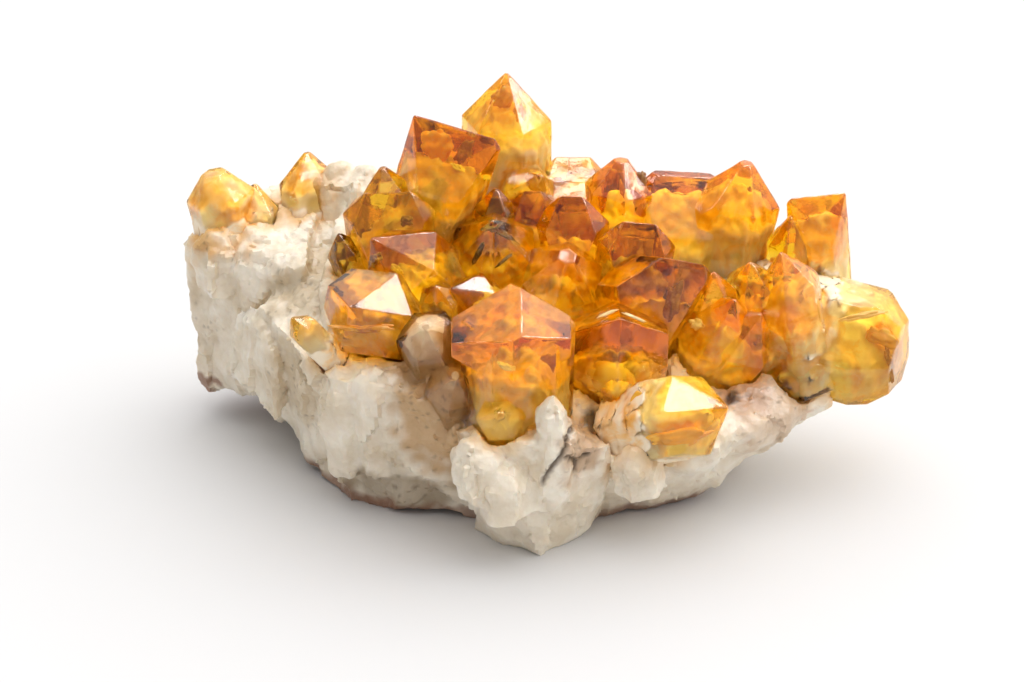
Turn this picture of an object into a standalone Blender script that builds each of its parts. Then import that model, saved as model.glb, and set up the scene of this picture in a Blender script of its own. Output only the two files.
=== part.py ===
"""Citrine crystal cluster: amber quartz points grown together on a wedge of white quartz.

Lengths are millimetres until a mesh is built, and metres in Blender. The viewer's side is
-Y, +X is to the right, +Z is up, and the cluster rests on the plane z = 0.
"""
import math
from collections import namedtuple

import bmesh
import bpy
from mathutils import Matrix, Quaternion, Vector, noise

MM = 0.001
GAP = 0.3                          # space kept between two neighbouring solids
END_FACE_TILT = math.radians(51.8)  # from a quartz point's axis to the normals of its end faces
FACES_AROUND = 6
MIDDLE = Vector((-0.3, 0.15, 0))   # middle of the cluster's foot, which becomes the origin

AMBER = (0.62, 0.27, 0.02)
MILK = (0.66, 0.61, 0.52)

# A quartz point: a six-sided prism under six end faces.
#   tip     where the six end faces would meet
#   lean    degrees off the vertical, towards the compass direction `toward`
#           (0 = +X, 90 = +Y, 180 = -X, 270 = -Y, the viewer)
#   turn    degrees that its first face is turned about the axis from the viewer's side
#   sides   distance of the six prism faces from the axis, one number if all are alike
#   ends    how much deeper than the tip each end face is cut, less than 0 if it stays proud
#   blunt   how far below the tip the top is broken off square
#   length  from the tip to the root
Point = namedtuple("Point", "tip lean toward turn sides ends blunt length")


def point(tip, lean, toward, turn, sides, length, ends=(0, 0, 0, 0, 0, 0), blunt=0.0):
    """A quartz point, with `sides` spread over its six faces if it is one number."""
    if not isinstance(sides, tuple):
        sides = (sides,) * FACES_AROUND
    return Point(Vector(tip), lean, toward, turn, sides, ends, blunt, length)


def ridge(half_length):
    """End faces of a roof-shaped point, whose front and back faces meet in a ridge."""
    proud = -half_length * math.sin(END_FACE_TILT) * math.cos(math.radians(30))
    return (0, proud, proud, 0, proud, proud)


def side_ridge(half_length):
    """End faces of a point turned by 30 degrees, with a level ridge across it."""
    proud = -half_length * math.sin(END_FACE_TILT)
    return (0, proud, 0, 0, proud, 0)


DRUSE_POINTS = {
    "peak": point((-4.9, 14, 48.2), 3, 270, -9, 5.0, 24, blunt=0.2),
    "broad_left": point(
        (-11.3, 5, 44.3), 18, 330, -5, (5.5, 5.5, 5.5, 5.5, 4.5, 4.5), 22,
        ends=(0, -3.6, -3.6, 0, -6, -6),
    ),
    "broad_left_shoulder": point((-20.2, 4, 39.8), 10, 180, 10, 3.4, 14, blunt=0.5),
    "olive": point((-19.4, 0, 37.6), 22, 262, 0, 5.0, 18, ends=ridge(2.8)),
    "olive_low": point((-25.6, 1, 32.0), 20, 190, 0, 2.2, 10),
    "salmon_top": point((-21.3, -6, 34.1), 45, 215, 18, 5.0, 18),
    "white_faced_left": point((-23.4, -16, 29.4), 62, 250, -18, 5.1, 18, ends=(0, 0, 0, 0, -3, 0)),
    "round_olive": point((-30.8, -11.5, 26.2), 40, 200, 0, 1.7, 9),
    "brown": point((-13.3, -11, 30.0), 35, 260, 20, 2.3, 10),
    "white_topped": point((-11.6, -10, 29.2), 50, 230, -10, 3.4, 15),
    "front": point(
        (-4.3, -26, 29.7), 62, 270, 30, (4.8, 7.0, 6.3, 6.3, 7.0, 4.8), 26, ends=side_ridge(5.5)
    ),
    "roofed": point((8.6, -17, 28.4), 38, 272, 30, (5.4, 6.0, 5.6, 5.6, 6.0, 5.4), 20, ends=side_ridge(4.5)),
    "dark": point((14.0, -8, 32.4), 30, 295, 0, 5.6, 20, ends=(0, -3.4, -3.4, 0, 0, -4)),
    "behind_dark": point((11.5, 0, 33.6), 15, 295, 0, 4.2, 16, ends=ridge(2.0)),
    "capped": point((9.6, 10, 39.0), 5, 0, -20, 3.9, 16, blunt=1.1),
    "flat_back": point((3.5, 14, 36.8), 8, 90, 0, 4.1, 16, ends=ridge(2.2)),
    "cream": point((-0.4, 6.5, 37.2), 48, 300, 30, 3.2, 14),
    "brown_back": point((-6.2, 4, 36.7), 10, 270, 0, 2.5, 14),
    "dark_topped": point((-1.7, 4, 36.2), 22, 270, 0, 4.0, 16, ends=ridge(1.0)),
    "smoky": point((-6.5, -3, 35.2), 35, 270, 30, 5.0, 17),
    "middle": point((3.1, 3, 35.9), 12, 275, 0, 4.2, 17, ends=ridge(1.4)),
    "white_chip": point((2.6, -6, 32.4), 36, 280, 20, 4.6, 16, blunt=1.3),
    "back_right": point((17.6, 12, 36.4), 6, 0, 5, 6.0, 20, ends=ridge(3.0), blunt=1.2),
    "peach": point((25.4, 10, 38.4), 12, 330, -10, (4.5, 4.7, 4.7, 4.5, 5.8, 5.8), 22, blunt=1.0),
    "upright_right": point(
        (34.1, 8, 34.0), 8, 215, 0, (4.2, 3.0, 3.0, 4.2, 3.6, 3.6), 17,
        ends=(0, -6, -6, 0, -2.4, -2.4),
    ),
    "orange": point((28.5, -3, 31.2), 14, 190, 20, (5.4, 3.6, 3.2, 5.4, 5.4, 5.4), 18),
    "golden": point((24.8, -4, 30.2), 20, 250, 10, 3.6, 14),
    "overhang": point((48.7, -6, 16.6), 95, 335, 0, (7.0, 6.2, 7.0, 7.0, 6.8, 7.0), 25, blunt=6.3),
    "sparkling": point((22.7, -9, 27.4), 30, 290, 0, 5.0, 16, blunt=1.0),
    "rough_right": point((26.0, -9, 25.6), 36, 315, 10, 4.2, 14),
    "wedge_between": point((20.4, -5, 29.4), 15, 270, 0, 3.0, 12),
    "small_right": point((31.0, -7, 23.4), 42, 330, 0, 2.5, 11),
    "under_overhang": point((34.0, -8, 18.0), 62, 320, 0, 3.2, 12),
    "behind_broad": point((-12.8, 16.5, 38.0), 12, 100, 0, 3.6, 15),
    "behind_peak": point((-4.6, 20, 34.5), 22, 90, 15, 3.6, 14, blunt=0.5),
    "behind_flat": point((3.4, 19.5, 32.4), 26, 85, 0, 3.1, 12),
    "behind_capped": point((10.4, 17.5, 33.4), 18, 80, 20, 3.4, 13),
    "behind_right": point((18.2, 18.5, 32.4), 22, 75, 5, 3.6, 14, blunt=0.6),
    "behind_peach": point((26.4, 15.8, 31.4), 20, 60, 0, 3.8, 14),
    "behind_upright": point((33.6, 13.2, 28.6), 30, 45, 10, 3.2, 12),
    "lying": point((21.2, -24, 20.2), 64, 322, 30, 4.7, 17),
}

LEFT_PAIR = {
    "left_rim": point((-42.6, 16, 35.6), 12, 190, 0, 3.9, 14, blunt=1.8),
    "left_rim_low": point((-37.1, 17, 32.2), 5, 0, 20, 2.9, 12, blunt=0.4),
}

BACK_LEFT = {
    "back_left": point((-30.6, 20, 35.6), 8, 120, 10, 3.4, 13, blunt=0.5),
}

FRONT_LOW = {
    "front_low": point((-5.8, -26, 20.5), 55, 265, 0, 2.6, 10),
}

# Milky quartz crystals that stand in the front of the white stone.
MILKY_POINTS = {
    "grey": point((-14.5, -17, 28.0), 40, 262, 0, 3.5, 18),
    "grey_low": point((-10.9, -20, 22.8), 42, 268, 10, 3.5, 14),
    "column": point((0.5, -25.0, 22.5), 8, 270, 0, 1.8, 9),
    "column_left": point((-20.5, -14.0, 21.4), 12, 262, 0, 2.8, 16),
    "column_far_left": point((-25.5, -12.5, 20.6), 14, 240, 20, 2.8, 16),
}

# Blocks of the white stone, each the hull of a few corners.
STONE_BLOCKS = {
    "bed": (
        (-24, -9, -0.6), (-19, -11.5, -0.6), (-8, -14, -0.6), (7, -13, -0.6), (15, -10, -0.6),
        (24, 0, 1), (26, 16, -0.6), (8, 24, -0.6), (-18, 23, -0.6), (-30, 8, 2),
        (-27, -13, 19), (-12, -19, 18), (10, -19, 13), (25, -8, 14), (32, 10, 24),
        (20, 20, 30), (-5, 22, 33), (-25, 21, 31), (-28, 2, 27),
    ),
    "wing": (
        (-44.5, 15.5, 3.6), (-39.5, 11.5, 4), (-36.5, 10.5, 4.6), (-28, 18, 4), (-31, 25.6, 4),
        (-42, 23.5, 7), (-45.7, 15, 11), (-45.7, 15, 25), (-44, 20.5, 28), (-38, 8, 22),
        (-29, 25.4, 31), (-30, 4, 26),
    ),
    "left_wall": (
        (-36.3, 10.4, 5), (-31.5, 2, 2), (-24, -9, -0.3), (-16, 10, 0), (-31, 23, 4),
        (-20, 24.5, 0), (-28, -11, 19), (-36, 3, 21), (-24, 22.5, 30.5), (-22, -5, 22),
    ),
    "left_boss": (
        (-40.5, 7.5, 9), (-34, -0.5, 7), (-40, 6.5, 17), (-33.5, -2, 16), (-37, 4, 21),
        (-37.5, 3.0, 12), (-30, 6, 12),
    ),
    "back_ledge": (
        (-16, 25.5, 2), (4, 26.5, 3), (6, 25.6, 12), (-14, 26.2, 13), (-18, 24.5, 20),
        (2, 22, 18), (-6, 18, 8),
    ),
    "back_step": (
        (9, 25.0, 14), (21, 23.4, 15), (22, 22.0, 24), (12, 24.4, 25), (16, 18, 28), (14, 15, 16),
    ),
    "toe": (
        (-0.7, -23.5, -0.6), (-5.7, -20, -0.6), (-9, -16.5, -0.6), (1.8, -20.6, -0.6),
        (4.2, -18, -0.6), (6.6, -13, 0), (-11, -20, 15), (-8, -24, 17), (2, -25.5, 15),
        (9, -19, 13), (0, -12, 18),
    ),
    "shelf": (
        (11, -11.5, -0.6), (15.5, -9.5, -0.6), (21, -9, 2.5), (27, -8.5, 8), (34, -7.5, 12),
        (39, -3, 14), (8, -19, 11), (19, -19, 12), (33, 8, 24), (26, 16, 6), (24, -8, 15),
        (38, 4, 20),
    ),
}

# Hollows on the underside and front of the white stone.
STONE_HOLLOWS = {
    "left_hollow": ((-19, -16, -2), (-9, -20, -2), (-12, 2, -2), (-18, -8, 2.2), (-11, -10, 2.5)),
    "right_hollow": ((6.5, -20, -2), (16, -14, -2), (8, 4, -2), (18, 2, -2), (10, -8, 2.0)),
}

STONE_EDGE = 4.2       # longest edge of the stone's facets
STONE_ROUGHNESS = 1.2  # how far the facets' corners stand off the blocks


def clear_scene():
    for thing in list(bpy.data.objects):
        bpy.data.objects.remove(thing, do_unlink=True)


def finish_material(name, colour, roughness, transmission=0.0):
    """A plain dielectric in the piece's colour."""
    material = bpy.data.materials.new(name)
    material.use_nodes = True
    shader = material.node_tree.nodes["Principled BSDF"]
    shader.inputs["Base Color"].default_value = (*colour, 1)
    shader.inputs["Roughness"].default_value = roughness
    shader.inputs["Metallic"].default_value = 0.0
    shader.inputs["IOR"].default_value = 1.544
    shader.inputs["Transmission Weight"].default_value = transmission
    return material


def add_object(name, mesh, material, cutter=False):
    """Put a finished bmesh, in millimetres, into the scene as a named object."""
    bmesh.ops.recalc_face_normals(mesh, faces=mesh.faces)
    bmesh.ops.translate(mesh, vec=-MIDDLE, verts=mesh.verts)
    bmesh.ops.scale(mesh, vec=(MM, MM, MM), verts=mesh.verts)
    data = bpy.data.meshes.new(name)
    mesh.to_mesh(data)
    mesh.free()
    thing = bpy.data.objects.new(name, data)
    thing.data.materials.append(material)
    bpy.context.scene.collection.objects.link(thing)
    if cutter:
        thing.hide_render = True
        thing.display_type = "WIRE"
    return thing


def slice_off(solid, place, normal):
    """Cut a closed convex solid with a plane, keep what is behind it, and close the cut."""
    parts = solid.verts[:] + solid.edges[:] + solid.faces[:]
    cut = bmesh.ops.bisect_plane(
        solid, geom=parts, plane_co=place, plane_no=normal, clear_outer=True, dist=1e-5
    )
    rim = [part for part in cut["geom_cut"] if isinstance(part, bmesh.types.BMEdge)]
    if rim:
        bmesh.ops.edgeloop_fill(solid, edges=rim)


def point_solid(shape, grow=0.0):
    """The closed solid of a quartz point, with every face moved out by `grow`."""
    solid = bmesh.new()
    bmesh.ops.create_cube(solid, size=4 * shape.length)
    for number in range(FACES_AROUND):
        around = math.radians(shape.turn + 360 / FACES_AROUND * number)
        outward = Vector((math.sin(around), -math.cos(around), 0))
        slice_off(solid, outward * (shape.sides[number] + grow), outward)
        end = outward * math.sin(END_FACE_TILT) + Vector((0, 0, math.cos(END_FACE_TILT)))
        slice_off(solid, end * (grow - shape.ends[number]), end)
    if shape.blunt:
        slice_off(solid, Vector((0, 0, grow - shape.blunt)), Vector((0, 0, 1)))
    slice_off(solid, Vector((0, 0, -shape.length - grow)), Vector((0, 0, -1)))
    toward = math.radians(shape.toward)
    hinge = Vector((-math.sin(toward), math.cos(toward), 0))
    leaning = Quaternion(hinge, math.radians(shape.lean)).to_matrix().to_4x4()
    bmesh.ops.transform(solid, matrix=Matrix.Translation(shape.tip) @ leaning, verts=solid.verts)
    return solid


def hull_solid(corners):
    """The convex solid around a few corners."""
    solid = bmesh.new()
    for corner in corners:
        solid.verts.new(corner)
    hull = bmesh.ops.convex_hull(solid, input=solid.verts)
    loose = [part for part in hull["geom_interior"] if isinstance(part, bmesh.types.BMVert)]
    bmesh.ops.delete(solid, geom=loose, context="VERTS")
    return solid


def roughen(solid, seed):
    """Break a solid's faces into facets and move their corners in and out."""
    for _ in range(6):
        long_edges = [edge for edge in solid.edges if edge.calc_length() > STONE_EDGE]
        if not long_edges:
            break
        bmesh.ops.subdivide_edges(solid, edges=long_edges, cuts=1)
        bmesh.ops.triangulate(solid, faces=solid.faces)
    solid.normal_update()
    moves = []
    for vert in solid.verts:
        place = vert.co * 0.16 + Vector((seed * 7.3, 0, 0))
        height = noise.noise(place) + 0.6 * noise.noise(place * 2.7)
        moves.append(vert.normal * height * STONE_ROUGHNESS)
    for vert, move in zip(solid.verts, moves):
        vert.co += move


def collection_of(name, things):
    group = bpy.data.collections.new(name)
    for thing in things:
        group.objects.link(thing)
    bpy.context.scene.collection.children.link(group)
    return group


def combine(thing, operation, group):
    """Join or cut an object with a collection of others by an exact Boolean."""
    change = thing.modifiers.new(operation.title(), "BOOLEAN")
    change.operation = operation
    change.operand_type = "COLLECTION"
    change.collection = group
    change.solver = "EXACT"
    return change


def crystal_node(name, shapes, material):
    """One solid of all the quartz points in `shapes`, which overlap."""
    (_, first), *others = shapes.items()
    node = add_object(name, point_solid(first), material)
    joined = [
        add_object(f"{name}_{label}", point_solid(shape), material, cutter=True)
        for label, shape in others
    ]
    if joined:
        combine(node, "UNION", collection_of(f"{name} points", joined))
    return node


def stone_node(name, sockets, material):
    """The white stone: rough blocks and milky crystals in one solid, cut for the points."""
    blocks = []
    for seed, (label, corners) in enumerate(STONE_BLOCKS.items()):
        block = hull_solid(corners)
        roughen(block, seed)
        blocks.append((label, block))
    (_, bed), *others = blocks
    node = add_object(name, bed, material)
    joined = [
        add_object(f"stone_{label}", block, material, cutter=True) for label, block in others
    ]
    joined += [
        add_object(f"milky_{label}", point_solid(shape), material, cutter=True)
        for label, shape in MILKY_POINTS.items()
    ]
    combine(node, "UNION", collection_of("stone blocks", joined))
    hollows = [
        add_object(f"hollow_{label}", hull_solid(corners), material, cutter=True)
        for label, corners in STONE_HOLLOWS.items()
    ]
    floor = hull_solid([(x, y, z) for x in (-60, 60) for y in (-60, 60) for z in (-9, 0)])
    hollows.append(add_object("hollow_floor", floor, material, cutter=True))
    combine(node, "DIFFERENCE", collection_of("stone hollows", hollows))
    grown = [
        add_object(f"socket_{label}", point_solid(shape, GAP), material, cutter=True)
        for label, shape in sockets.items()
    ]
    combine(node, "DIFFERENCE", collection_of("stone sockets", grown))
    return node


def build():
    clear_scene()
    amber = finish_material("citrine", AMBER, 0.08, transmission=0.9)
    milk = finish_material("white_quartz", MILK, 0.45)
    crystal_node("citrine_druse", DRUSE_POINTS, amber)
    crystal_node("citrine_points_left", LEFT_PAIR, amber)
    crystal_node("citrine_point_back_left", BACK_LEFT, amber)
    crystal_node("citrine_point_front_low", FRONT_LOW, amber)
    sockets = {**DRUSE_POINTS, **LEFT_PAIR, **BACK_LEFT, **FRONT_LOW}
    stone_node("quartz_matrix", sockets, milk)


build()
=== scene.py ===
"""Looks of the citrine cluster: clear amber points with milky roots on rough white quartz.

Lengths are millimetres until a mesh is built, and metres in Blender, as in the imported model.
"""
import math
from collections import namedtuple

import bmesh
import bpy
import numpy as np
from mathutils import Matrix, Quaternion, Vector, noise


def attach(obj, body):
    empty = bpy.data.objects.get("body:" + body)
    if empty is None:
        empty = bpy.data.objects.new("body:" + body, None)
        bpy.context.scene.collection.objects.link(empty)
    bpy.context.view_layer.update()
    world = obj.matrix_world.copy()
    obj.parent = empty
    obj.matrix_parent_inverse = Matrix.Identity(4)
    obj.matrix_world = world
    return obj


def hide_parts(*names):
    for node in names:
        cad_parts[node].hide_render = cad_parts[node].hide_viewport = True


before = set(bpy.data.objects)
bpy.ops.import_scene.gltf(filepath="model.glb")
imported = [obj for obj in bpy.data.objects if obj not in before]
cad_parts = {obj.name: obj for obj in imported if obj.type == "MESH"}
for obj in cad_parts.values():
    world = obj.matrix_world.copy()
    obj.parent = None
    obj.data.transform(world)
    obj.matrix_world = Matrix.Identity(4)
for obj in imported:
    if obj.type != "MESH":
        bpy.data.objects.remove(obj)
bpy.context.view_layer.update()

MM = 0.001
END_FACE_TILT = math.radians(51.8)  # from a quartz point's axis to the normals of its end faces
FACES_AROUND = 6
MIDDLE = Vector((-0.3, 0.15, 0))    # middle of the cluster's foot, which is the origin

# Colours, linear RGB.
GOLD = (0.86, 0.47, 0.06)
PALE_GOLD = (0.95, 0.60, 0.28)
HONEY = (0.80, 0.40, 0.07)
AMBER = (0.74, 0.36, 0.02)
ORANGE = (0.84, 0.35, 0.02)
PEACH = (0.82, 0.44, 0.19)
OLIVE = (0.42, 0.24, 0.03)
BROWN = (0.44, 0.20, 0.02)
RED_BROWN = (0.24, 0.055, 0.008)
SMOKY = (0.30, 0.16, 0.05)
CREAM = (0.97, 0.83, 0.62)
MILK = (0.84, 0.79, 0.69)
IRON_GOLD = (0.94, 0.52, 0.08)
RIND = (0.30, 0.13, 0.08)
CRACK = (0.10, 0.06, 0.03)
TAUPE = (0.86, 0.70, 0.48)
TANGERINE = (0.97, 0.50, 0.12)
APRICOT = (0.97, 0.55, 0.14)
PALE_APRICOT = (0.96, 0.55, 0.18)
DEEP_ORANGE = (0.95, 0.45, 0.08)
DEEP_HONEY = (0.60, 0.31, 0.03)
MARIGOLD = (0.86, 0.45, 0.02)
DARK_GOLD = (0.76, 0.42, 0.03)
LIGHT_IRON = (0.95, 0.62, 0.20)
GOLD_BLUSH = (0.92, 0.60, 0.22)
CLEAR = (1.0, 0.99, 0.96)
WHITE_SUGAR = (0.93, 0.85, 0.72)
TAWNY_SUGAR = (0.76, 0.65, 0.49)
TABLE_WHITE = (0.69, 0.69, 0.697)
ROOM_WHITE = (1, 0.99, 0.98)
WINDOW_WHITE = (1.0, 0.955, 0.945)

# A quartz point: a six-sided prism under six end faces, as in the solids. It leans `lean` degrees
# from the upright, in the direction that is `toward` degrees from x to y, and is turned by `turn`
# degrees about its axis. `sides` are the prism faces' distances from the axis, `ends` say how far
# each end face is cut back from the tip, and `blunt` how much of the tip is missing.
Point = namedtuple("Point", "tip lean toward turn sides ends blunt length hue milky")


def point(
    tip, lean, toward, turn, sides, length, ends=(0, 0, 0, 0, 0, 0), blunt=0.0, hue=AMBER, milky=0.5
):
    """A quartz point of one hue, which pales from `milky` of its length downwards."""
    if not isinstance(sides, tuple):
        sides = (sides,) * FACES_AROUND
    return Point(Vector(tip) - MIDDLE, lean, toward, turn, sides, ends, blunt, length, hue, milky)


def ridge(half_length):
    """End faces of a roof-shaped point, whose front and back faces meet in a ridge."""
    proud = -half_length * math.sin(END_FACE_TILT) * math.cos(math.radians(30))
    return (0, proud, proud, 0, proud, proud)


def side_ridge(half_length):
    """End faces of a point turned by 30 degrees, with a level ridge across it."""
    proud = -half_length * math.sin(END_FACE_TILT)
    return (0, proud, 0, 0, proud, 0)


DRUSE_POINTS = {
    "peak": point((-4.9, 14, 48.2), 3, 270, -9, 5.0, 24, blunt=0.2, hue=PALE_GOLD, milky=0.2),
    "broad_left": point(
        (-11.3, 5, 44.3), 18, 330, -5, (5.5, 5.5, 5.5, 5.5, 4.5, 4.5), 22,
        ends=(0, -3.6, -3.6, 0, -6, -6), hue=MARIGOLD, milky=0.32,
    ),
    "broad_left_shoulder": point((-20.2, 4, 39.8), 10, 180, 10, 3.4, 14, blunt=0.5, hue=PEACH),
    "olive": point((-19.4, 0, 37.6), 22, 262, 0, 5.0, 18, ends=ridge(2.8), hue=OLIVE),
    "olive_low": point((-25.6, 1, 32.0), 20, 190, 0, 2.2, 10, hue=OLIVE),
    "salmon_top": point((-21.3, -6, 34.1), 45, 215, 18, 5.0, 18, hue=BROWN),
    "white_faced_left": point(
        (-23.4, -16, 29.4), 62, 250, -18, 5.1, 18, ends=(0, 0, 0, 0, -3, 0), hue=HONEY, milky=0.35
    ),
    "round_olive": point((-30.8, -11.5, 26.2), 40, 200, 0, 1.7, 9, hue=GOLD, milky=0.2),
    "brown": point((-13.3, -11, 30.0), 35, 260, 20, 2.3, 10, hue=BROWN),
    "white_topped": point((-11.6, -10, 29.2), 50, 230, -10, 3.4, 15, hue=BROWN),
    "front": point(
        (-4.3, -26, 29.7), 62, 270, 30, (4.8, 7.0, 6.3, 6.3, 7.0, 4.8), 26,
        ends=(0, -4.3, -0.7, 0.2, -3.4, 0.2), hue=HONEY,
    ),
    "front_body": point(
        (-3.5, -19.2, 36.0), 5, 285, 6, (5.2, 6.2, 6.0, 5.0, 5.8, 5.4), 26, blunt=7.0,
        hue=DEEP_HONEY, milky=0.44,
    ),
    "roofed": point(
        (8.6, -17, 28.4), 38, 272, 30, (5.4, 6.0, 5.6, 5.6, 6.0, 5.4), 20,
        ends=side_ridge(4.5), hue=AMBER,
    ),
    "dark": point((14.0, -8, 32.4), 30, 295, 0, 5.6, 20, ends=(0, -3.4, -3.4, 0, 0, -4), hue=RED_BROWN),
    "behind_dark": point((11.5, 0, 33.6), 15, 295, 0, 4.2, 16, ends=ridge(2.0), hue=GOLD),
    "capped": point((9.6, 10, 39.0), 5, 0, -20, 3.9, 16, blunt=1.1, hue=PALE_GOLD),
    "flat_back": point(
        (3.5, 14, 36.8), 8, 90, 0, 4.1, 16, ends=ridge(2.2), hue=PALE_GOLD, milky=0.2
    ),
    "cream": point((-0.4, 6.5, 37.2), 48, 300, 30, 3.2, 14, hue=GOLD),
    "brown_back": point((-6.2, 4, 36.7), 10, 270, 0, 2.5, 14, hue=BROWN),
    "dark_topped": point((-1.7, 4, 36.2), 22, 270, 0, 4.0, 16, ends=ridge(1.0), hue=AMBER),
    "smoky": point((-6.5, -3, 35.2), 35, 270, 30, 5.0, 17, hue=SMOKY),
    "middle": point((3.1, 3, 35.9), 12, 275, 0, 4.2, 17, ends=ridge(1.4), hue=DARK_GOLD),
    "white_chip": point((2.6, -6, 32.4), 36, 280, 20, 4.6, 16, blunt=1.3, hue=AMBER),
    "back_right": point(
        (17.6, 12, 36.4), 6, 0, 5, 6.0, 20, ends=ridge(3.0), blunt=1.2, hue=GOLD, milky=0.25
    ),
    "peach": point(
        (25.4, 10, 38.4), 12, 330, -10, (4.5, 4.7, 4.7, 4.5, 5.8, 5.8), 22, blunt=1.0,
        hue=TANGERINE, milky=0.25,
    ),
    "upright_right": point(
        (34.1, 8, 34.0), 8, 215, 0, (4.2, 3.0, 3.0, 4.2, 3.6, 3.6), 17,
        ends=(0, -6, -6, 0, -2.4, -2.4), hue=APRICOT, milky=0.25,
    ),
    "beside_upright": point((30.6, 7, 31.8), 16, 230, 10, 3.0, 13, hue=ORANGE),
    "orange": point(
        (28.5, -3, 31.2), 14, 190, 20, (5.4, 3.6, 3.2, 5.4, 5.4, 5.4), 18,
        hue=DEEP_ORANGE, milky=0.3,
    ),
    "golden": point((24.8, -4, 30.2), 20, 250, 10, 3.6, 14, hue=GOLD),
    "overhang": point(
        (48.7, -6, 16.6), 95, 335, 0, (7.0, 6.2, 7.0, 7.0, 6.8, 7.0), 25,
        ends=(0.6, 0, -0.8, 0.4, 0, 0.8), blunt=5.6, hue=PALE_APRICOT, milky=0.16,
    ),
    "sparkling": point((22.7, -9, 27.4), 30, 290, 0, 5.0, 16, blunt=0.3, hue=GOLD, milky=0.4),
    "rough_right": point((26.0, -9, 25.6), 36, 315, 10, 4.2, 14, hue=HONEY),
    "wedge_between": point((20.4, -5, 29.4), 15, 270, 0, 3.0, 12, hue=AMBER),
    "small_right": point((31.0, -7, 23.4), 42, 330, 0, 2.5, 11, hue=ORANGE),
    "under_overhang": point((34.0, -8, 18.0), 62, 320, 0, 3.2, 12, hue=PALE_GOLD),
    "behind_broad": point((-12.8, 16.5, 38.0), 12, 100, 0, 3.6, 15),
    "behind_peak": point((-4.6, 20, 34.5), 22, 90, 15, 3.6, 14, blunt=0.5, hue=GOLD),
    "behind_flat": point((3.4, 19.5, 32.4), 26, 85, 0, 3.1, 12),
    "behind_capped": point((10.4, 17.5, 33.4), 18, 80, 20, 3.4, 13, hue=GOLD),
    "behind_right": point((18.2, 18.5, 32.4), 22, 75, 5, 3.6, 14, blunt=0.6),
    "behind_peach": point((26.4, 15.8, 31.4), 20, 60, 0, 3.8, 14, hue=ORANGE),
    "behind_upright": point((33.6, 13.2, 28.6), 30, 45, 10, 3.2, 12, hue=GOLD),
    "lying": point((21.2, -24, 20.2), 64, 322, 30, 4.7, 17, hue=PALE_GOLD, milky=0.2),
}

LEFT_PAIR = {
    "left_rim": point((-42.6, 16, 35.6), 12, 190, 0, 3.9, 14, blunt=1.8, hue=GOLD, milky=0.1),
    "left_rim_low": point((-37.1, 17, 32.2), 5, 0, 20, 2.9, 12, blunt=0.4, hue=GOLD, milky=0.1),
}

BACK_LEFT = {
    "back_left": point((-30.6, 20, 35.6), 8, 120, 10, 3.4, 13, blunt=0.5, hue=PALE_GOLD, milky=0.15),
}

FRONT_LOW = {
    "front_low": point((-5.8, -26, 20.5), 55, 265, 0, 2.6, 10, hue=GOLD, milky=0.28),
}

# Clouded points that stand out of the stone among the clear ones.
MILKY_POINTS = {
    "grey": point((-14.5, -17, 28), 40, 262, 0, 3.5, 18, hue=TAUPE),
    "grey_low": point((-10.9, -20, 22.8), 42, 268, 10, 3.5, 14, hue=TAUPE),
}

# Lumps of white quartz that are joined into the stone.
WHITE_LUMPS = {
    "back_white": point((-26.8, 19.4, 35.3), 8, 120, 12, 3.4, 12, blunt=1.4, hue=MILK),
    "left_front": point((-41.8, 11.6, 29.4), 8, 250, 10, 3.0, 10, blunt=1.5, hue=MILK),
    "left_middle": point((-36.6, 12.2, 28.0), 8, 280, 0, 3.2, 10, blunt=1.5, hue=MILK),
    "back_white_right": point((-22.8, 18.6, 34.6), 18, 60, 0, 3.2, 12, blunt=1.0, hue=MILK),
    "toe_left": point((-9.2, -25.0, 17.6), 14, 215, 20, 3.0, 9, blunt=1.2, hue=MILK),
    "toe_middle": point((-5.2, -25.8, 14.6), 6, 270, 0, 2.8, 8, blunt=1.4, hue=MILK),
    "toe_right": point((1.7, -23.8, 19.6), 12, 330, 12, 2.7, 13, blunt=1.0, hue=MILK),
    "under_lying": point((10.4, -21.4, 15.0), 12, 240, 8, 2.6, 8, blunt=1.2, hue=MILK),
}

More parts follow.
